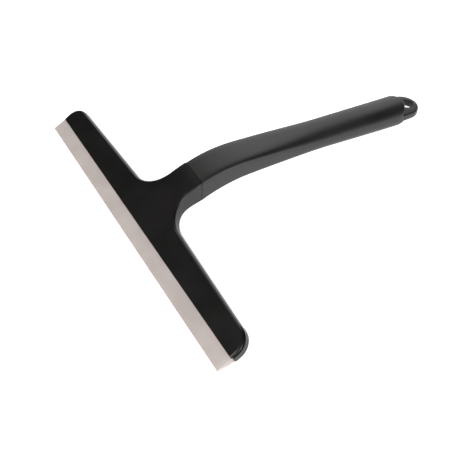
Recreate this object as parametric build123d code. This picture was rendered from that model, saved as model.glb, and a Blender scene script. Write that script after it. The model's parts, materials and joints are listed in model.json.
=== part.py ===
from build123d import *
import os
from math import atan2, cos, degrees, pi, radians, sin, sqrt

# Window cleaning squeegee: a T-shaped moulded head with a silicone blade, a bent neck that
# plugs into a hollow grip, and a hanging loop at the grip's end.
#
# Three frames are used. The head frame has its origin in the middle of the plate's front edge:
# X along the head, Y towards the grip, Z up out of the plate. The grip frame has its origin
# on the grip's top line where the bend ends: Y along the straight grip, Z up out of it.
# The finished part stands on its blade edge and the end of its grip, in the row frame.

# ---- driving dimensions, in mm ----
head_width = 250.0          # blade and plate, end to end
head_thickness = 6.5        # plate of the head, top to bottom
end_depth = 14.6            # plate at its ends, front to back
back_slope = 0.036          # the back edge runs out towards the neck
corner_radius = 11.0        # back corners of the plate
neck_width = 24.2
neck_fillet = 20.0          # between the back edge and the neck
edge_round = 1.8            # top edges of the head
low_edge_round = 0.8        # its lower outside edges

bend_start = 25.0           # the top is flat up to here
bend_radius = 98.0          # of the top line
bend_angle = 35.0           # between the plate and the grip
seam_angle = 14.0           # how far round the bend the neck meets the grip
seam_depth = 15.3           # neck at the seam, top to bottom

grip_width = 24.2
grip_depths = (16.9, 10.2, 16.8, 17.2)  # curve of its depth, from the seam to its end
grip_length = 133.5         # straight part, from the bend to the rounded end
grip_end_radius = 12.8      # the rounded end, seen from above
end_slope = 0.13            # the rounded end leans out down to the loop
under_slope = 1.0           # and runs back under it
wall = 2.2                  # moulded walls
fit_gap = 0.15              # between parts that are pressed or screwed together

blade_reach = 10.8          # in front of the plate
lip_top = -0.35             # height of the lip's upper edge, in the head frame
lip_thickness = 1.0
root_thickness = 4.4
bead_radius = 1.8           # round root of the blade
bead_gap = 0.08             # running clearance round the bead
hinge_y = 2.7               # centre of the bead, in the head frame
hinge_z = -3.4

loop_radius = 11.2
loop_centre = 136.5         # in the grip frame
loop_hole_radius = 4.5
loop_hole_centre = 139.8
loop_thickness = 5.2
loop_drop = 6.0             # its top face lies this far below the grip's top line

# ---- values that follow ----
half_width = head_width / 2
bend = radians(bend_angle)
seam = radians(seam_angle)
seam_y = bend_start + bend_radius * sin(seam)
seam_z = -bend_radius * (1 - cos(seam))
bend_end_y = bend_start + bend_radius * sin(bend)
bend_end_z = -bend_radius * (1 - cos(bend))
clear = 400.0               # longer than the whole squeegee: the size of a cutting block
grip_start = -bend_radius * sin(bend - seam)     # the seam, in the grip frame
grip_place = Location((0, bend_end_y, bend_end_z), (-bend_angle, 0, 0))


def slab(profile, half):
    """A side profile, drawn in Y and Z, made solid from -half to +half along X."""
    return extrude(Plane.YZ * profile, amount=half, both=True)


def rod(radius, low, high, x=0.0, y=0.0):
    """A round bar along Z, from low to high."""
    return Pos(x, y, (low + high) / 2) * Cylinder(radius, high - low)


# ---- the head's outline and side profile ----
def back_edge(x):
    """Depth of the plate's back edge at a distance x from the middle."""
    return end_depth + (half_width - x) * back_slope


def head_outline(inset=0.0, front=0.0, reach=80.0):
    """The T seen from above, as a face, with its walls moved in by inset."""
    end_x = half_width - inset
    side_x = neck_width / 2 - inset
    corners = [
        (-end_x, front), (end_x, front), (end_x, back_edge(end_x) - inset),
        (side_x, back_edge(side_x) - inset), (side_x, reach), (-side_x, reach),
        (-side_x, back_edge(side_x) - inset), (-end_x, back_edge(end_x) - inset),
    ]
    face = make_face(Polyline(*corners, close=True))
    outer = [v for v in face.vertices() if abs(v.X) > end_x - 1 and v.Y > end_depth / 2]
    room = back_edge(end_x) - inset - front - 0.5
    face = fillet(outer, min(corner_radius - inset, room))
    inner = [v for v in face.vertices() if abs(abs(v.X) - side_x) < 0.01 and v.Y < reach / 2]
    return fillet(inner, neck_fillet + inset)


def head_profile():
    """The head seen from the side: flat plate, bent top, deepening neck, slanted seam."""
    down = (-sin(bend), -cos(bend))
    top_start = (bend_start, 0)
    top_middle = (bend_start + bend_radius * sin(seam / 2), -bend_radius * (1 - cos(seam / 2)))
    top_end = (seam_y, seam_z)
    low_end = (seam_y + seam_depth * down[0], seam_z + seam_depth * down[1])
    low_start = (end_depth, -head_thickness)
    edges = [
        Line((-1, 0), top_start),
        ThreePointArc(top_start, top_middle, top_end),
        Line(top_end, low_end),
        Spline(low_end, low_start, tangents=[(-cos(seam), sin(seam)), (-1, 0)]),
        Line(low_start, (-1, -head_thickness)),
        Line((-1, -head_thickness), (-1, 0)),
    ]
    return make_face(edges)


def head_prism(inset=0.0, front=0.0):
    """The outline, endlessly tall."""
    return extrude(Pos(0, 0, -clear / 2) * head_outline(inset, front), amount=clear)


def beyond_seam(setback):
    """All that lies past the seam, from a little before it."""
    return grip_place * Pos(0, grip_start - setback + clear / 2, 0) * Box(clear, clear, clear)


# ---- head: shell, base, end caps, blade ----
plate_wall = 1.5
base_wall = 1.6
bulkhead = 3.0              # closes the neck at the seam
block_depth = 7.0           # solid bar behind the blade, which holds its bead
cap_drop = 2.6              # the end caps start this far below the top
cap_joint = 0.05            # between an end cap and the shell
groove_top = 1.1            # a shadow groove runs above the end caps, from here down to them
groove_depth = 0.6
cap_start_x = 112.0
peg_radius = 0.75           # holds an end cap between the shell and the base
peg_y = 5.75
peg_length = 5.0
limb_screws = [(-96, 10.0), (-38, 11.0), (38, 11.0), (96, 10.0)]
neck_screw_y = 31.0
boss_radius = 2.4
base_screw = {"length": 4.4, "head_radius": 1.9, "head_height": 1.0, "shank_radius": 0.95}
grip_screw = {"length": 9.0, "head_radius": 2.7, "head_height": 1.5, "shank_radius": 1.4}
pilot_gap = 0.02            # round a screw, in the boss it cuts its thread in
beyond = 5.0                # how far a cutting tool runs past what it cuts
throat_half = 1.35          # the groove's mouth widens from here
mouth_half = 2.4            # to here at the plate's front edge


def low_face(y):
    """Height of the head's underside at a depth y."""
    line = head_profile() & (Pos(y, -30) * Rectangle(0.01, 60))
    return line.bounding_box().min.Y


def on_underside(edge):
    """True for an edge that lies in the head's underside."""
    return all(abs(edge.position_at(t).Z - low_face(edge.position_at(t).Y)) < 0.05
               for t in (0.2, 0.8))


def screw_places():
    """Where the top of each base screw's head is."""
    places = [(x, y, -head_thickness) for x, y in limb_screws]
    return places + [(0, neck_screw_y, low_face(neck_screw_y) + 0.6)]


def bead_groove():
    """The groove for the bead, and the mouth that lets the lip swing."""
    bore = slab(Pos(hinge_y, hinge_z) * Circle(bead_radius + bead_gap), half_width + beyond)
    inner_y = hinge_y - 1.0
    flare = Polyline(
        (inner_y, hinge_z + throat_half), (-0.5, hinge_z + mouth_half),
        (-0.5, hinge_z - mouth_half), (inner_y, hinge_z - throat_half), close=True)
    return bore + slab(make_face(flare), half_width + beyond)


def end_band(inset, gap):
    """The rounded band of wall at both ends, where the end caps go."""
    plan = head_outline(inset) - head_outline(wall + gap, -beyond)
    tall = head_thickness - cap_drop + gap
    band = extrude(Pos(0, 0, -head_thickness) * plan, amount=tall)
    return band - Box(2 * (cap_start_x - gap), clear, clear)


def shadow_groove():
    """The groove in the shell's outside wall above each end cap."""
    plan = head_outline(-beyond) - head_outline(groove_depth)
    ring = extrude(Pos(0, 0, -cap_drop) * plan, amount=cap_drop - groove_top)
    return ring - Box(2 * cap_start_x, clear, clear)


def pegs(radius):
    """A round peg at each end, along X."""
    start = half_width - wall - peg_length
    peg = Pos(start, peg_y, hinge_z) * Rot(0, 90, 0) * Cylinder(
        radius, peg_length + wall / 2, align=(Align.CENTER, Align.CENTER, Align.MIN))
    return peg + mirror(peg, Plane.YZ)


def screw(length, head_radius, head_height, shank_radius):
    """A countersunk self-tapping screw: its head's top at Z 0, its point upwards."""
    tip = 1.2
    head = Pos(0, 0, head_height / 2) * Cone(head_radius, shank_radius, head_height)
    shank = rod(shank_radius, head_height, length - tip)
    point = Pos(0, 0, length - tip / 2) * Cone(shank_radius, shank_radius / 4, tip)
    slot = Box(head_radius * 1.1, 0.5, 0.9)
    return head + shank + point - slot - Rot(0, 0, 90) * slot


def screw_hole(length, head_radius, head_height, shank_radius):
    """The hole that a screw passes through, with its countersink."""
    sink = Pos(0, 0, head_height / 2) * Cone(head_radius + 0.1, shank_radius + 0.1, head_height)
    return sink + rod(shank_radius + 0.1, 0, length) + rod(head_radius + 0.1, -beyond, 0)


def make_head_shell():
    """Top, walls and neck in one moulding, open below, with the spigot for the grip."""
    side = slab(head_profile(), half_width + beyond)
    body = head_prism() & side
    rim = [e for e in body.edges() if e.position_at(0.5).Z > -3 and e.position_at(0.5).Y > 0.1
           and min(v.Z for v in e.vertices()) > -3 and e.position_at(0.5).Y < seam_y - 1
           and abs(e.position_at(0.5).X) > 1]
    body = fillet(rim, edge_round)
    low_rim = [e for e in body.edges() if on_underside(e) and abs(e.position_at(0.5).X) > 1
               and 0.5 < e.position_at(0.5).Y < seam_y - 6]
    body = fillet(low_rim, low_edge_round)
    cavity = (head_prism(wall, block_depth) & Pos(0, 0, -plate_wall) * side) - beyond_seam(bulkhead)
    bosses = [rod(boss_radius, -clear, 0, x, y) for x, y, z in screw_places()]
    body = body - (cavity - bosses)
    under_bar = Pos(0, 0, hinge_z - clear / 2) * Box(clear, 2 * block_depth, clear)
    body = body - under_bar - base_strip(wall) - bead_groove() - end_band(-beyond, cap_joint)
    body = body - shadow_groove()
    pilot_radius = base_screw["shank_radius"] + pilot_gap
    pilots = [rod(pilot_radius, -clear, -plate_wall - 0.3, x, y) for x, y, z in screw_places()]
    head_radius = base_screw["head_radius"] + pilot_gap
    sinks = [Pos(*place) * rod(head_radius, -beyond, base_screw["head_height"])
             for place in screw_places()]
    tenon_pilot = grip_place * screw_seat(tenon_screw_y) * grip_pilot()
    body = body + grip_place * spigot_solid()
    return body - pilots - sinks - tenon_pilot - pegs(peg_radius + 0.05)


def base_strip(inset):
    """The sheet that closes the head below: the outline and the lowest layer in common."""
    side = slab(head_profile(), half_width)
    layer = side - Pos(0, 0, base_wall) * side
    return (head_prism(inset) & layer) - beyond_seam(bulkhead)


def make_head_base():
    """Underside of the head: a sheet with a bar along its front, the lower jaw of the groove."""
    bar_height = head_thickness + hinge_z
    bar_length = 2 * (half_width - wall - fit_gap)
    bar = Pos(0, block_depth / 2 - fit_gap / 2, hinge_z - bar_height / 2) * Box(
        bar_length, block_depth - fit_gap, bar_height)
    body = base_strip(wall + fit_gap) + (bar & head_prism(wall + fit_gap))
    holes = [Pos(*place) * screw_hole(**base_screw) for place in screw_places()]
    return body - bead_groove() - holes - pegs(peg_radius + 0.05)


def make_end_caps():
    """The right end cap and the left one: bands that close the groove's ends."""
    both = end_band(0.0, 0.0) + pegs(peg_radius)
    return both.solids().sort_by(Axis.X)


def make_blade():
    """Silicone blade: a round bead in the groove, a web, and the tapered lip in front."""
    root_y = -1.0
    half_root = root_thickness / 2
    belly = (-5.5, -4.0)
    web = 0.6
    lip = make_face(Polyline(
        (root_y, hinge_z + half_root), (-blade_reach, lip_top),
        (-blade_reach, lip_top - lip_thickness), belly, (root_y, hinge_z - half_root),
        close=True))
    held = half_width - wall - 2 * fit_gap
    bead = Pos(hinge_y, hinge_z) * Circle(bead_radius)
    neck = Pos((hinge_y + root_y) / 2, hinge_z) * Rectangle(hinge_y - root_y + 0.4, 2 * web)
    return slab(lip, half_width) + slab(bead + neck, held)


def make_base_screws():
    return [Pos(*place) * screw(**base_screw) for place in screw_places()]


# ---- grip: shell, underside cover, loop ----
tenon_length = 15.0         # the spigot inside the grip
slot_width = 13.0           # opening under the grip that the cover closes
slot_start = -14.0
slot_end = 112.0
cavity_end = 122.0
plug_width = 14.0           # the loop's tail, inside the grip
plug_start = 116.0
grip_screw_y = (4.0, 92.0)
tenon_screw_y = grip_start + 8.0


def top_line(y):
    """Height of the grip's top line: straight, and an arc before the bend's end."""
    return sqrt(bend_radius ** 2 - min(y, 0.0) ** 2) - bend_radius


def depth(y):
    """Depth of the grip: a smooth curve that dips behind the seam and grows to the end."""
    k = (y - grip_start) / (grip_length - grip_start)
    weights = ((1 - k) ** 3, 3 * k * (1 - k) ** 2, 3 * k ** 2 * (1 - k), k ** 3)
    return sum(weight * value for weight, value in zip(weights, grip_depths))


def roundness(y):
    """Exponent of the section: 8 is a rounded box, near 2 an ellipse."""
    box, oval = 8.0, 2.4
    round_from, round_to = -20.0, 62.0
    k = min(max((y - round_from) / (round_to - round_from), 0.0), 1.0)
    return oval + (box - oval) * (1 - k) ** 1.6


def section(y, inset):
    """One cross-section of the grip, square to its straight axis."""
    power = roundness(y)
    points = []
    count = 40
    for i in range(count):
        turn = 2 * pi * (i + 0.5) / count
        size = (abs(cos(turn)) ** power + abs(sin(turn)) ** power) ** (-1 / power)
        across = (grip_width / 2 - inset) * size * cos(turn)
        up = (depth(y) / 2 - inset) * size * sin(turn)
        points.append((across, y, top_line(y) - depth(y) / 2 + up))
    return make_face(Spline(*points, periodic=True))


def grip_solid(inset, low, high):
    """The grip, or its inside, between two places along its axis."""
    spacing = 10.0
    count = max(2, round((high - low) / spacing))
    stations = [low + (high - low) * i / count for i in range(count + 1)]
    return loft([section(y, inset) for y in stations])


def spigot_solid():
    """The tongue on the neck that the grip slides over."""
    tenon_gap = 0.4
    return grip_solid(wall + tenon_gap, grip_start - bulkhead + 0.5, grip_start + tenon_length)


def slot_prism(gap):
    """The long opening in the grip's underside, with round ends."""
    length = slot_end - slot_start - 2 * gap
    plan = SlotOverall(length, slot_width - 2 * gap, rotation=90)
    middle = Pos(0, (slot_start + slot_end) / 2, 0)
    return extrude(Pos(0, 0, -clear) * middle * plan, amount=clear - seam_depth * 0.6)


def screw_seat(y):
    """Where the top of a grip screw's head is, a little inside the underside."""
    return Pos(0, y, top_line(y) - depth(y) + 0.25)


def end_reach(z):
    """Radius of the rounded end at a height: it grows down to the loop, then shrinks."""
    low = -loop_drop - loop_thickness
    return grip_end_radius - end_slope * max(z, low) - under_slope * max(low - z, 0.0)


def end_form(gap):
    """The form of the grip's far end, as endless backwards as it is round in front."""
    middle_y = grip_length - grip_end_radius
    heights = (beyond, -loop_drop - loop_thickness, -grip_depths[-1] - 1)
    form = Pos(0, middle_y - clear / 2, 0) * Box(clear, clear, clear)
    for high, low in zip(heights, heights[1:]):
        form = form + Pos(0, middle_y, (low + high) / 2) * Cone(
            end_reach(low) + gap, end_reach(high) + gap, high - low)
    return form


def loop_slot(gap):
    """The tail of the loop, where it passes through the end of the grip."""
    start = plug_start - gap
    end = grip_length + 1.5
    plan = Rectangle(plug_width + 2 * gap, end - start)
    middle = Pos(0, (start + end) / 2, -loop_drop - loop_thickness - gap)
    return extrude(middle * plan, amount=loop_thickness + 2 * gap)


def grip_pilot():
    """The hole that a grip screw cuts its thread in."""
    return rod(grip_screw["shank_radius"] + pilot_gap, -beyond, grip_screw["length"] + 0.3)


def make_grip_shell():
    """Hollow grip: round end, open below, with screw bosses, and a slot for the loop."""
    seam_gap = 0.2
    body = grip_solid(0.0, grip_start + seam_gap, grip_length + 2) & end_form(0.0)
    cavity = grip_solid(wall, grip_start - 1.0, cavity_end)
    bosses = [rod(3.0, -clear, 0, 0, y) for y in grip_screw_y]
    body = body - (cavity - bosses) - slot_prism(0.0) - loop_slot(0.05)
    pilots = [screw_seat(y) * grip_pilot() for y in grip_screw_y]
    return body - pilots - screw_seat(tenon_screw_y) * screw_hole(**grip_screw)


def make_grip_cover():
    """The strip that closes the grip below."""
    wall_only = grip_solid(0.0, grip_start + 1, grip_length - 2)
    wall_only = wall_only - grip_solid(wall, grip_start, grip_length)
    strip = wall_only & slot_prism(fit_gap)
    return strip - [screw_seat(y) * screw_hole(**grip_screw) for y in grip_screw_y]


def make_grip_screws():
    return [screw_seat(y) * screw(**grip_screw) for y in grip_screw_y]


def make_hanging_loop():
    """Flat ring that the squeegee hangs by, with its tail held in the grip."""
    bevel = 0.8
    low = -loop_drop - loop_thickness
    shoulder_y = grip_length - 9.0
    shoulder = grip_width / 2 - 0.3
    ring = Pos(0, loop_centre) * Circle(loop_radius)
    flank = make_hull([*ring.edges(), Line((-shoulder, shoulder_y), (shoulder, shoulder_y))])
    plate = extrude(Pos(0, 0, low) * flank, amount=loop_thickness)
    rim = [e for e in plate.edges() if e.center().Y > shoulder_y + 0.5
           and abs(e.position_at(0.1).Z - e.position_at(0.9).Z) < 0.1]
    plate = chamfer(rim, bevel) - end_form(0.05) + loop_slot(0.0)
    bore = rod(loop_hole_radius, low - beyond, beyond, 0, loop_hole_centre)
    plate = plate - bore
    lips = [e for e in plate.edges() if e.geom_type == GeomType.CIRCLE
            and abs(e.radius - loop_hole_radius) < 0.01 and abs(e.arc_center.X) < 0.01]
    return chamfer(lips, bevel / 2)


# ---- standing pose: on the blade's edge and the grip's end ----
def stand(nodes):
    """Tilt the squeegee onto its blade's edge and its grip's end, centred on the origin."""
    heel_z = -grip_depths[-1]
    heel_y = grip_length - grip_end_radius + end_reach(heel_z)
    heel = (grip_place * Pos(0, heel_y, heel_z)).position
    tilt = degrees(atan2(lip_top - lip_thickness - heel.Z, heel.Y + blade_reach))
    tilted = {name: Rot(tilt, 0, 0) * shape for name, shape in nodes.items()}
    boxes = [shape.bounding_box() for shape in tilted.values()]
    low_y = min(box.min.Y for box in boxes)
    high_y = max(box.max.Y for box in boxes)
    low_z = min(box.min.Z for box in boxes)
    place = Pos(0, -(low_y + high_y) / 2, -low_z) * Rot(tilt, 0, 0)
    return place, {name: place * shape for name, shape in nodes.items()}


def build():
    """Every node of the squeegee, in the head frame."""
    left_cap, right_cap = make_end_caps()
    nodes = {
        "head_shell": make_head_shell(),
        "head_base": make_head_base(),
        "end_cap_right": right_cap,
        "end_cap_left": left_cap,
        "blade": make_blade(),
        "base_screws": Compound(make_base_screws()),
        "grip_shell": grip_place * make_grip_shell(),
        "grip_cover": grip_place * make_grip_cover(),
        "grip_screws": grip_place * Compound(make_grip_screws()),
        "tenon_screw": grip_place * screw_seat(tenon_screw_y) * screw(**grip_screw),
        "hanging_loop": grip_place * make_hanging_loop(),
    }
    return nodes


place, nodes = stand(build())
os.makedirs("parts", exist_ok=True)
for name, shape in nodes.items():
    shape.label = name
    export_step(shape, f"parts/{name}.step")

seat = place * grip_place
facts = {
    "hinge": (place * Pos(0, hinge_y, hinge_z)).position,
    "loop hole": (seat * Pos(0, loop_hole_centre, -loop_drop - loop_thickness / 2)).position,
    "loop hole axis": (seat * Pos(0, 0, 1)).position - seat.position,
    "tilt": place.orientation,
}
for name, value in facts.items():
    print(name, value)
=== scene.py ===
# %% [markdown]
# # A window squeegee in four finishes
# The squeegee is a wide moulded head, a soft silicone lip that bends in the head's front
# groove, a hollow grip that plugs onto the bent neck, and a flat ring to hang it by. The
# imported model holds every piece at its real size. Here the pieces that need a finer surface
# are built again as smooth meshes, and each piece gets a finish made from nodes.

# %% Load the frame and keep its size
import json
import bmesh
import bpy
from math import cos, pi, radians, sin, sqrt
from mathutils import Matrix, Vector


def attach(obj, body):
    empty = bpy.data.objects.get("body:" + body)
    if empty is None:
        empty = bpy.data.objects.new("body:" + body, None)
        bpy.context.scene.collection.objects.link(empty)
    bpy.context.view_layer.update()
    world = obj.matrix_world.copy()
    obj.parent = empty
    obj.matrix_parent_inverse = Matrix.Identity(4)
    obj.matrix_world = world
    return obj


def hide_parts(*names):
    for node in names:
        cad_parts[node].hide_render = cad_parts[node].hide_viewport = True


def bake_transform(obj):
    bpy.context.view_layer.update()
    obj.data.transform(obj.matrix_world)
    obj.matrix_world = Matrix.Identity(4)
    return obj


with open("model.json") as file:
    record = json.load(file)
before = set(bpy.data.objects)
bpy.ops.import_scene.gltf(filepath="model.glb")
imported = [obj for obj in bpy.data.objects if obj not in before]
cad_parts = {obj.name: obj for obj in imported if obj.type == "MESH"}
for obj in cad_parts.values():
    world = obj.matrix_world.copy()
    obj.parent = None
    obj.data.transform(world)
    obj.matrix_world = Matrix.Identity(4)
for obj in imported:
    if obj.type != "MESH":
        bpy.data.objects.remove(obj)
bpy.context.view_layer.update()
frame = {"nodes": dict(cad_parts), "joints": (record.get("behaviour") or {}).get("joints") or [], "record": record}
nodes = frame["nodes"]
record = frame["record"]
print("nodes:", ", ".join(sorted(nodes)))

# %% [markdown]
# ## Two places to measure from
# The squeegee stands tilted, on the edge of its lip and the end of its grip, so upright
# coordinates are awkward for its parts. Sizes are easier to give in the head's own frame: X
# along the plate, Y back from its front edge, Z up out of it, in millimetres. The hinge of
# the lip and the flat underside of the plate are known in the record, and those two facts
# give the head's place. The grip has a second frame, at the end of the bend, turned 35 degrees.

# %% The head's frame and the grip's frame
MM = 0.001
hinge_in_head = Vector((0, 2.7, -3.4))
bend_start = 25.0
bend_radius = 98.0
bend_angle = radians(35)
seam_angle = radians(14)

hinge = Vector(frame["joints"][0]["pos_m"])
underside = next(m for m in record["mounts"] if m["name"] == "plate_underside")
down = Vector(underside["axis"])
turn = Vector((0, 0, -1)).rotation_difference(down).to_matrix().to_4x4()
head_place = (Matrix.Translation(hinge) @ turn @ Matrix.Scale(MM, 4)
              @ Matrix.Translation(-hinge_in_head))
bend_end = Vector((0, bend_start + bend_radius * sin(bend_angle),
                   -bend_radius * (1 - cos(bend_angle))))
grip_place = head_place @ Matrix.Translation(bend_end) @ Matrix.Rotation(-bend_angle, 4, "X")
print("front edge of the plate:", [round(v, 4) for v in head_place @ Vector((0, 0, 0))])
print("end of the bend:", [round(v, 4) for v in grip_place @ Vector((0, 0, 0))])

# %% [markdown]
# ## Skins from rings
# Most long moulded things are one closed outline carried along a path while it changes. A
# skin joins such outlines, ring by ring, into a grid of four-sided faces, which shades evenly.
# Sharp creases are marked where two faces meet at a wide angle, and all else is smooth.

# %% Build a skin and finish a mesh
def finish_mesh(obj, crease=38):
    """Smooth shading, with a crease wherever faces turn by more than the angle."""
    mesh = obj.data
    mesh.validate()
    mesh.shade_smooth()
    mesh.set_sharp_from_angle(angle=radians(crease))
    print(obj.name, len(mesh.vertices), "points", len(mesh.polygons), "faces")
    return obj


def new_piece(name, points, faces, place):
    """A mesh object from points in a frame of millimetres."""
    mesh = bpy.data.meshes.new(name)
    mesh.from_pydata([place @ Vector(point) for point in points], [], faces)
    obj = bpy.data.objects.new(name, mesh)
    bpy.context.scene.collection.objects.link(obj)
    return obj


def skin(name, rings, place, loop=False, cap_start=False, cap_end=False):
    """Rings of equal count joined into a grid. A looped skin joins its last ring to its first."""
    count = len(rings[0])
    points = [point for ring in rings for point in ring]
    faces = []
    pairs = len(rings) if loop else len(rings) - 1
    for i in range(pairs):
        near = i * count
        far = (i + 1) % len(rings) * count
        for j in range(count):
            k = (j + 1) % count
            faces.append((near + j, near + k, far + k, far + j))
    if cap_start:
        faces.append(tuple(reversed(range(count))))
    if cap_end:
        faces.append(tuple(range((len(rings) - 1) * count, len(rings) * count)))
    return new_piece(name, points, faces, place)


def outward(obj):
    """Turn every face outwards."""
    work = bmesh.new()
    work.from_mesh(obj.data)
    bmesh.ops.recalc_face_normals(work, faces=work.faces)
    work.to_mesh(obj.data)
    work.free()
    return obj

# %% [markdown]
# ## Writing node maths as sums
# A finish is worked out from patterns: a speckle here, a worn edge there. Linking Math nodes
# by hand hides what they work out. So a wire from a node is wrapped in a small class that
# understands plus, minus and times, and the maths then reads as a sum. Numbers alone never
# become nodes. Colours are mixed with a Mix node, because a Math node turns a colour grey.

# %% The wire class and the bench that makes nodes
class Wire:
    """The output of a node, which sums can be written with."""

    def __init__(self, bench, socket):
        self.bench = bench
        self.socket = socket

    def maths(self, operation, first, second):
        return self.bench.node("ShaderNodeMath", {"operation": operation}, {0: first, 1: second})

    def __add__(self, other):
        return self.maths("ADD", self, other)

    def __radd__(self, other):
        return self.maths("ADD", other, self)

    def __sub__(self, other):
        return self.maths("SUBTRACT", self, other)

    def __rsub__(self, other):
        return self.maths("SUBTRACT", other, self)

    def __mul__(self, other):
        return self.maths("MULTIPLY", self, other)

    def __rmul__(self, other):
        return self.maths("MULTIPLY", other, self)

    def clamp(self):
        return self.bench.node("ShaderNodeClamp", {}, {"Value": self})


class Bench:
    """Where the nodes of one material, or of the room, are made."""

    def __init__(self, owner, shader="Principled BSDF"):
        self.owner = owner
        self.owner.use_nodes = True
        self.tree = owner.node_tree
        self.shader = self.tree.nodes[shader]

    def plug(self, socket, value):
        """Link a wire to a socket, or set the socket to a plain value."""
        if isinstance(value, Wire):
            self.tree.links.new(value.socket, socket)
        else:
            socket.default_value = value

    def node(self, kind, settings, sockets, output=0):
        """A node of a kind, with its settings made first and then its sockets."""
        node = self.tree.nodes.new(kind)
        for name, value in settings.items():
            setattr(node, name, value)
        for name, value in sockets.items():
            self.plug(node.inputs[name], value)
        return Wire(self, node.outputs[output])

    def blend(self, factor, first, second):
        """A colour between two colours."""
        sockets = {0: factor, 6: first, 7: second}
        return self.node("ShaderNodeMix", {"data_type": "RGBA"}, sockets, 2)

    def noise(self, place, scale, detail=3.0, rough=0.5):
        sockets = {"Vector": place, "Scale": scale, "Detail": detail, "Roughness": rough}
        return self.node("ShaderNodeTexNoise", {}, sockets)

    def ramp(self, value, low, high, start=0.0, end=1.0):
        """From start to end as the value goes from low to high."""
        sockets = {"Value": value, "From Min": low, "From Max": high,
                   "To Min": start, "To Max": end}
        return self.node("ShaderNodeMapRange", {"interpolation_type": "SMOOTHSTEP"}, sockets)

    def place(self):
        """Where a point is on the piece, in metres."""
        return self.node("ShaderNodeTexCoord", {}, {}, "Object")

    def edges(self, radius):
        """Near 1 on a sharp edge and 0 away from it: how far a rounded normal leans."""
        rounded = self.node("ShaderNodeBevel", {"samples": 6}, {"Radius": radius})
        plain = self.node("ShaderNodeNewGeometry", {}, {}, "Normal")
        leaning = self.node("ShaderNodeVectorMath", {"operation": "DOT_PRODUCT"},
                            {0: rounded, 1: plain}, "Value")
        return self.ramp(1 - leaning, 0.02, 0.25)

    def bump(self, height, distance, strength=1.0):
        return self.node("ShaderNodeBump", {},
                         {"Height": height, "Distance": distance, "Strength": strength})

    def finish(self, **sockets):
        """Plug the shader's own sockets, and hand over what was finished."""
        for name, value in sockets.items():
            self.plug(self.shader.inputs[name.replace("_", " ")], value)
        print("finish", self.owner.name, len(self.tree.nodes), "nodes")
        return self.owner

# %% [markdown]
# ## The head's black plastic
# The head is injection moulded from black plastic with a fine spark-eroded surface, so it is
# satin and never shiny. Three things keep it from looking like paint: grains of a fraction of
# a millimetre, slow cloudy changes in gloss where the mould filled, and edges painted a little
# paler and smoother, partly as rubbing from handling and partly as a painted highlight along
# the edges. The edge mask comes from the angle between the surface and a rounded copy of it,
# which works on any mesh.

# %% Black moulded plastic
def moulded_plastic(name, colour, pale_marks_and_highlight, roughness, grain):
    bench = Bench(bpy.data.materials.new(name))
    place = bench.place()
    grains = bench.noise(place, 3200, 2)
    flow = bench.noise(place, 38, 4, 0.6)
    smears = bench.noise(place, 150, 5, 0.65)
    edge = bench.edges(0.0006) * bench.ramp(smears, 0.35, 0.65)
    clouded = bench.blend(bench.ramp(flow, 0.3, 0.7), [v * 0.8 for v in colour] + [1],
                          [v * 1.25 for v in colour] + [1])
    # Edges blend toward the pale colour: partly rubbed wear, partly a painted highlight along the edges.
    shade = bench.blend(edge * 0.55, clouded, pale_marks_and_highlight + [1])
    gloss = roughness + (flow - 0.5) * 0.12 + (grains - 0.5) * 0.1 - edge * 0.08
    relief = bench.bump(grains + smears * 0.3, grain)
    bench.shader.inputs["Specular IOR Level"].default_value = 0.5
    return bench.finish(Base_Color=shade, Roughness=gloss.clamp(), Normal=relief)


# The second colour is the pale edge colour: partly wear, partly a painted highlight.
head_finish = moulded_plastic("head_plastic", [0.007, 0.0063, 0.0062], [0.04, 0.038, 0.037],
                              0.36, 0.000015)

# %% [markdown]
# ## The grip's soft grey coating
# The grip has the same plastic under a thin soft-touch coat. Light spreads wider over it and
# it looks charcoal, not black. Hands polish it in patches, so its gloss changes more than the
# head's, and its speckle is a little coarser and softer.

# %% Charcoal soft-touch coating
def soft_touch(name, colour, pale_marks_and_highlight, roughness, grain):
    bench = Bench(bpy.data.materials.new(name))
    place = bench.place()
    grains = bench.noise(place, 2300, 3)
    patches = bench.noise(place, 26, 4, 0.55)
    smears = bench.noise(place, 120, 5, 0.7)
    edge = bench.edges(0.0007) * bench.ramp(smears, 0.4, 0.62)
    clouded = bench.blend(bench.ramp(patches, 0.3, 0.7), [v * 0.85 for v in colour] + [1],
                          [v * 1.2 for v in colour] + [1])
    dusty = bench.blend(bench.ramp(grains, 0.55, 0.8) * 0.18, clouded, pale_marks_and_highlight + [1])
    # Edges blend toward the pale colour: partly rubbed wear, partly a painted highlight along the edges.
    shade = bench.blend(edge * 0.4, dusty, pale_marks_and_highlight + [1])
    gloss = roughness + (patches - 0.5) * 0.2 + (grains - 0.5) * 0.12 - edge * 0.06
    relief = bench.bump(grains + smears * 0.4, grain)
    bench.shader.inputs["Specular IOR Level"].default_value = 0.45
    return bench.finish(Base_Color=shade, Roughness=gloss.clamp(), Normal=relief)


# The second colour is for dust specks and for paler edges, the edges partly wear and partly a painted highlight.
grip_finish = soft_touch("grip_plastic", [0.019, 0.018, 0.0175], [0.07, 0.067, 0.064],
                         0.43, 0.00002)

# %% [markdown]
# ## Silicone
# The lip is a translucent grey-beige silicone. Light goes a little way into it, which
# subsurface scattering gives, so its shadows are soft and its edges glow slightly. Its faces
# carry faint lines along its length from the die it was drawn through, made by stretching a
# noise along the piece.

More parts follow.
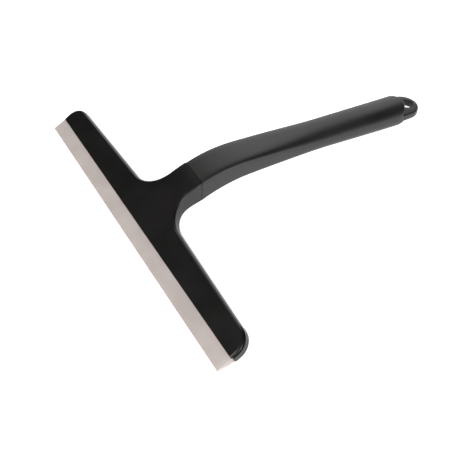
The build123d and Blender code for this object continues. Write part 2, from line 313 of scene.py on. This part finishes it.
# %% Grey-beige silicone
def silicone(name, colour, deep):
    bench = Bench(bpy.data.materials.new(name))
    place = bench.place()
    stretched = bench.node("ShaderNodeMapping", {}, {"Vector": place, "Scale": (6, 260, 260)})
    lines = bench.noise(stretched, 5, 3)
    clouds = bench.noise(place, 60, 4, 0.6)
    dust = bench.noise(place, 2600, 2)
    shade = bench.blend(bench.ramp(clouds, 0.3, 0.7), deep + [1], colour + [1])
    dusted = bench.blend(bench.ramp(dust, 0.6, 0.75) * 0.2, shade, [v * 0.82 for v in colour] + [1])
    gloss = 0.5 + (lines - 0.5) * 0.16 + (clouds - 0.5) * 0.12
    relief = bench.bump(lines * 0.7 + dust * 0.3, 0.00004)
    inputs = bench.shader.inputs
    inputs["Subsurface Weight"].default_value = 0.35
    inputs["Subsurface Radius"].default_value = (0.0025, 0.0018, 0.0014)
    inputs["Subsurface Scale"].default_value = 1.0
    return bench.finish(Base_Color=dusted, Roughness=gloss.clamp(), Normal=relief)


silicone_finish = silicone("silicone", [0.56, 0.50, 0.475], [0.50, 0.445, 0.42])

# %% [markdown]
# ## Screw steel
# The screws are small countersunk steel screws. Turning leaves rings and the driver leaves
# scuffs, so their gloss is uneven, and a thin tarnish darkens parts of them.

# %% Zinc-plated steel
def screw_steel(name):
    bench = Bench(bpy.data.materials.new(name))
    place = bench.place()
    scuffs = bench.noise(place, 900, 4, 0.6)
    tarnish = bench.noise(place, 300, 3)
    shade = bench.blend(bench.ramp(tarnish, 0.4, 0.65), [0.6, 0.6, 0.61, 1], [0.4, 0.39, 0.38, 1])
    gloss = 0.28 + (scuffs - 0.5) * 0.25
    bench.shader.inputs["Metallic"].default_value = 1.0
    relief = bench.bump(scuffs, 0.00001)
    return bench.finish(Base_Color=shade, Roughness=gloss.clamp(), Normal=relief)


steel_finish = screw_steel("screw_steel")

# %% [markdown]
# ## Dress the pieces that keep their own mesh
# The plate with its neck, the closing sheet, the end caps, the cover and the screws are plain
# moulded or turned shapes, exact already. They only need their finish.

# %% Give the kept nodes their finish
def dress(obj, finish):
    """One finish for the whole of an object."""
    if not obj.material_slots:
        obj.data.materials.append(finish)
    for place in obj.material_slots:
        place.material = finish


finishes = {
    "head_shell": head_finish, "head_base": head_finish, "end_cap_left": head_finish,
    "end_cap_right": head_finish, "grip_cover": grip_finish, "base_screws": steel_finish,
    "grip_screws": steel_finish, "tenon_screw": steel_finish,
}
for name, finish in finishes.items():
    dress(nodes[name], finish)
print("dressed", len(finishes), "nodes")

# %% [markdown]
# ## The silicone lip
# The lip is drawn through a die, so it has one profile along its whole length: thick where
# it leaves the head, with a full belly, and thin at the edge that wipes. Its end is cut square
# across, with the faintest rounding. It bends when it is dragged over glass: its root stays in
# the groove while its edge swings. So its skin has many steps from root to edge.

# %% The lip's profile and skin
half_width = 125.0
lip_reach = 10.8
lip_top = -0.35
lip_thickness = 1.0
half_root = 2.25
groove_z = hinge_in_head.z


def softened(corners, cut, steps):
    """Round each corner of a closed outline by cutting it back and curving across."""
    outline = []
    count = len(corners)
    for i, (corner, back) in enumerate(zip(corners, cut)):
        here = Vector(corner)
        before = Vector(corners[i - 1]) - here
        after = Vector(corners[(i + 1) % count]) - here
        start = here + before.normalized() * min(back, before.length / 2)
        end = here + after.normalized() * min(back, after.length / 2)
        for step in range(steps + 1):
            t = step / steps
            outline.append(start * (1 - t) ** 2 + here * 2 * t * (1 - t) + end * t ** 2)
    return outline


def divided(outline, longest):
    """Add points so that no side of a closed outline is longer than this."""
    points = []
    for i, here in enumerate(outline):
        ahead = outline[(i + 1) % len(outline)]
        parts = max(1, round((ahead - here).length / longest))
        points += [here.lerp(ahead, step / parts) for step in range(parts)]
    return points


corners = [
    (0.6, groove_z + 1.5), (-0.02, groove_z + half_root), (-lip_reach, lip_top),
    (-lip_reach, lip_top - lip_thickness), (-5.5, groove_z - 0.75),
    (-0.02, groove_z - half_root), (0.6, groove_z - 1.5),
]
profile = divided(softened(corners, [0.1, 0.1, 0.35, 0.35, 2.2, 0.1, 0.1], 4), 0.6)
middle = sum(profile, Vector((0, 0))) / len(profile)
edge_round = 0.15
along = [-half_width, -half_width + edge_round]
steps = 50
along += [-half_width + edge_round + (2 * (half_width - edge_round)) * i / steps
          for i in range(1, steps + 1)] + [half_width]
rings = []
for x in along:
    pull = 1.0 if abs(x) < half_width - edge_round / 2 else 0.97
    rings.append([(x, *(middle + (point - middle) * pull)) for point in profile])
blade = skin("silicone_lip", rings, head_place, cap_start=True, cap_end=True)
finish_mesh(outward(blade), 50)
dress(blade, silicone_finish)
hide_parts("blade")
root = head_place @ Vector((0, 0, groove_z))
bent = head_place @ Vector((0, -5, groove_z))
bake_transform(blade)

# %% [markdown]
# ## The grip
# The grip is a hollow moulding whose section changes all the way: a crisp rounded box where it
# meets the neck, and an oval further down, slimmer behind the bend and fuller for the palm. A
# superellipse covers all of these: one exponent takes it from box to oval. Its far end
# is cut off by an upright half round that leans out down to the loop and back in under it, so
# each line along the grip runs until it meets that form, and rings then close the end.

# %% Sizes of the grip
grip_width = 24.2
grip_depths = (16.9, 10.2, 16.8, 17.2)
grip_length = 133.5
end_radius = 12.8
end_slope = 0.13
under_slope = 1.0
loop_base = -11.2
grip_start = -bend_radius * sin(bend_angle - seam_angle)
box, oval = 8.0, 2.4
round_from, round_to = -20.0, 62.0


def top_line(y):
    """Height of the top: straight, and an arc before the bend's end."""
    return sqrt(bend_radius ** 2 - min(y, 0.0) ** 2) - bend_radius


def depth(y):
    """Depth of the grip, a smooth curve through four weights."""
    k = (y - grip_start) / (grip_length - grip_start)
    weights = ((1 - k) ** 3, 3 * k * (1 - k) ** 2, 3 * k ** 2 * (1 - k), k ** 3)
    return sum(weight * value for weight, value in zip(weights, grip_depths))


def power(y):
    """Exponent of the section: 8 is a rounded box, 2.4 an oval."""
    k = min(max((y - round_from) / (round_to - round_from), 0.0), 1.0)
    return oval + (box - oval) * (1 - k) ** 1.6


def around(y, angle, inset=0.0):
    """A point of the section at y: its X, and its height."""
    size = (abs(cos(angle)) ** power(y) + abs(sin(angle)) ** power(y)) ** (-1 / power(y))
    x = (grip_width / 2 - inset) * size * cos(angle)
    up = (depth(y) / 2 - inset) * size * sin(angle)
    return x, top_line(y) - depth(y) / 2 + up


def end_at(x, z):
    """Where the half round is, for a point of this width and height."""
    lean = end_radius - end_slope * max(z, loop_base) - under_slope * max(loop_base - z, 0.0)
    return grip_length - end_radius + sqrt(max(lean ** 2 - x ** 2, 0.1))


print("depth of the grip in mm:", [round(depth(y), 1) for y in (grip_start, 30, 80, grip_length)])

# %% Lines along the grip, and its rounded end
columns = 160
stations = 84
end_rings = 12
angles = [2 * pi * (j + 0.5) / columns for j in range(columns)]
last_y = []
for angle in angles:
    y = grip_length - 3
    for turn_count in range(5):
        y = end_at(*around(y, angle))
    last_y.append(y)

seam_gap = 0.25
seam_bevel = 0.45
edge_bevel = 0.5
first_y = grip_start + seam_gap
rings = [[(x, first_y, z) for x, z in (around(first_y, a, seam_bevel) for a in angles)]]
for i in range(stations + 1):
    t = i / stations
    ring = []
    for angle, end_y in zip(angles, last_y):
        y = first_y + seam_bevel + (end_y - edge_bevel - first_y - seam_bevel) * t
        x, z = around(y, angle)
        ring.append((x, y, z))
    rings.append(ring)
middle_z = -depth(grip_length) / 2
for i in range(end_rings):
    shrink = (1 - i / end_rings) * (1 - edge_bevel / 9)
    ring = []
    for angle, end_y in zip(angles, last_y):
        x, z = around(end_y, angle)
        x *= shrink
        z = middle_z + (z - middle_z) * shrink
        ring.append((x, end_at(x, z), z))
    rings.append(ring)
grip = skin("grip_body", rings, grip_place, cap_start=True, cap_end=True)
outward(grip)

# %% [markdown]
# ## Openings under the grip
# The underside is closed by a long cover held with two screws, and a third screw pins the
# grip to the neck. The opening is cut out of the skin with a Boolean, which keeps the join
# crisp, and then the cover and the screws show in their seats.

# %% Cut the cover's opening and the screw's seat
slot_half = 6.5
slot_start, slot_end = -14.0, 112.0
round_points = 24


def upright(name, outline, low, high):
    """A closed outline in X and Y carried from one height to another."""
    return skin(name, [[(x, y, low) for x, y in outline], [(x, y, high) for x, y in outline]],
                grip_place, cap_start=True, cap_end=True)


def arc(cx, cy, radius, start, sweep, count):
    """Points on an arc."""
    turns = [start + sweep * i / (count - 1) for i in range(count)]
    return [(cx + radius * cos(a), cy + radius * sin(a)) for a in turns]


stadium = (arc(0, slot_end - slot_half, slot_half, 0, pi, round_points)
           + arc(0, slot_start + slot_half, slot_half, pi, pi, round_points))
pin_y = grip_start + 8
seat = arc(0, pin_y, 2.8, 0, 2 * pi * (1 - 1 / 32), 32)
pin_depth = top_line(pin_y) - depth(pin_y)
cutters = [upright("slot_cut", stadium, -40, -8.9), upright("seat_cut", seat, -40, pin_depth + 1.9)]
for cutter in cutters:
    outward(cutter)
    cut = grip.modifiers.new(cutter.name, "BOOLEAN")
    cut.object = cutter
    cut.solver = "EXACT"
bpy.context.view_layer.update()
shaped = bpy.data.meshes.new_from_object(grip.evaluated_get(bpy.context.evaluated_depsgraph_get()))
grip.modifiers.clear()
grip.data = shaped
for cutter in cutters:
    bpy.data.objects.remove(cutter)
finish_mesh(grip, 32)
dress(grip, grip_finish)
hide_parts("grip_shell")
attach(grip, "frame")

# %% [markdown]
# ## The hanging ring
# The ring is a flat loop moulded with its tail, as wide as the grip where it comes out of it
# and rounded all round. Its section is a small closed outline with bevelled corners, carried
# round the hole: outside it follows the loop's outline and inside it the hole, so one looped
# skin makes the whole ring.

# %% The ring's outline and skin
ring_radius = 11.2
ring_centre = 136.5
hole_radius = 4.5
hole_centre = 139.8
ring_drop = 6.0
ring_thickness = 5.2
bevel = 1.1
hole_bevel = 0.45
shoulder_y = 124.5
shoulder = 11.8
ring_columns = 144


def outer_at(angle, inset):
    """The outline's point in this direction from the hole: an arc, then a flank."""
    dx, dy = cos(angle), sin(angle)
    low, high = 0.0, 40.0
    for halving in range(30):
        reach = (low + high) / 2
        x, y = dx * reach, hole_centre + dy * reach
        if y >= ring_centre:
            inside = x ** 2 + (y - ring_centre) ** 2 < (ring_radius - inset) ** 2
        else:
            k = (ring_centre - y) / (ring_centre - shoulder_y)
            inside = abs(x) < ring_radius - inset + (shoulder - ring_radius) * k
            inside = inside and y > shoulder_y
        low, high = (reach, high) if inside else (low, reach)
    return dx * low, hole_centre + dy * low


def hole_at(angle, inset):
    radius = hole_radius + inset
    return radius * cos(angle), hole_centre + radius * sin(angle)


top = -ring_drop
base = -ring_drop - ring_thickness
bevel_steps = 4
leans = [pi / 2 * i / bevel_steps for i in range(bevel_steps + 1)]
outer_top = [(outer_at, bevel * (1 - sin(lean)), top - bevel * (1 - cos(lean))) for lean in leans]
outer_base = [(outer_at, bevel * (1 - cos(lean)), base + bevel * (1 - sin(lean))) for lean in leans]
inner = [(hole_at, hole_bevel, base), (hole_at, 0.0, base + hole_bevel),
         (hole_at, 0.0, top - hole_bevel), (hole_at, hole_bevel, top)]
around_section = outer_top + outer_base + inner
turns = [2 * pi * j / ring_columns for j in range(ring_columns)]
rings = [[(*form(a, inset), z) for a in turns] for form, inset, z in around_section]
ring_piece = skin("hanging_ring", rings, grip_place, loop=True)
finish_mesh(outward(ring_piece), 35)
dress(ring_piece, grip_finish)
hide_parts("hanging_loop")
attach(ring_piece, "frame")

# %% [markdown]
# ## Floor, light and camera
# A white studio floor does most of the lighting. It shines by itself a little, as a light
# table does, so it stays white right up to the object, and the sides of the plastic pick it
# up. The room above is dark, which keeps the black plate black.

# %% A white floor that shines
def floor_finish():
    bench = Bench(bpy.data.materials.new("floor_white"))
    place = bench.place()
    speck = bench.noise(place, 60, 3)
    shade = bench.blend(speck, [0.80, 0.80, 0.80, 1], [0.84, 0.84, 0.84, 1])
    bench.shader.inputs["Emission Color"].default_value = (1, 1, 1, 1)
    bench.shader.inputs["Emission Strength"].default_value = 0.97
    return bench.finish(Base_Color=shade, Roughness=0.9)


reach = 4.0
floor = new_piece("floor", [(-reach, -reach, 0), (reach, -reach, 0), (reach, reach, 0),
                            (-reach, reach, 0)], [(0, 1, 2, 3)], Matrix.Identity(4))
dress(floor, floor_finish())

# %% [markdown]
# Three soft lights stand round the object. The widest is behind and to the left, and gives the
# neck and the grip's top their slow shine. One in front lifts the lip, and a weak small one at
# the right draws the edges that face it. The room fades from a bright horizon to a dark ceiling.

# %% Soft lights and a dim room
def soft_light(name, place, target, size, power_w):
    """A square light that faces a point."""
    light = bpy.data.lights.new(name, "AREA")
    light.energy = power_w
    light.size = size
    obj = bpy.data.objects.new(name, light)
    obj.location = place
    obj.rotation_euler = (Vector(target) - Vector(place)).to_track_quat("-Z", "Y").to_euler()
    bpy.context.scene.collection.objects.link(obj)
    return obj


soft_light("back_light", (-1.4, 0.85, 0.95), (0, 0.05, 0.02), 1.7, 16)
soft_light("side_light", (1.5, 0.4, 0.33), (0, 0, 0.02), 0.4, 8)
soft_light("front_light", (0.45, -1.5, 0.85), (0, -0.05, 0.01), 1.1, 34)
bench = Bench(bpy.data.worlds.new("room"), "Background")
direction = bench.node("ShaderNodeTexCoord", {}, {}, "Generated")
height = bench.node("ShaderNodeSeparateXYZ", {}, {"Vector": direction}, "Z")
bpy.context.scene.world = bench.finish(Strength=bench.ramp(height, 0.0, 0.45, 1.1, 0.03))
bpy.context.scene.view_settings.view_transform = "Standard"
print("lights set")

# %% [markdown]
# The camera looks down from the right of the lip, from about half a metre, with a long lens,
# so the near end of the plate looks only slightly larger than the far one.

# %% The camera
right = Vector((0.49565, 0.86757, -0.04073))
below = Vector((0.61881, -0.38566, -0.68435))
ahead = Vector((-0.60943, 0.31399, -0.72801))
lens = bpy.data.cameras.new("camera")
lens.lens = 62.23
lens.sensor_width = 36
lens.clip_start = 0.01
camera = bpy.data.objects.new("camera", lens)
pose = Matrix((right, -below, -ahead)).transposed().to_4x4()
pose.translation = Vector((0.35753, -0.22081, 0.37983))
camera.matrix_world = pose
bpy.context.scene.collection.objects.link(camera)
bpy.context.scene.camera = camera
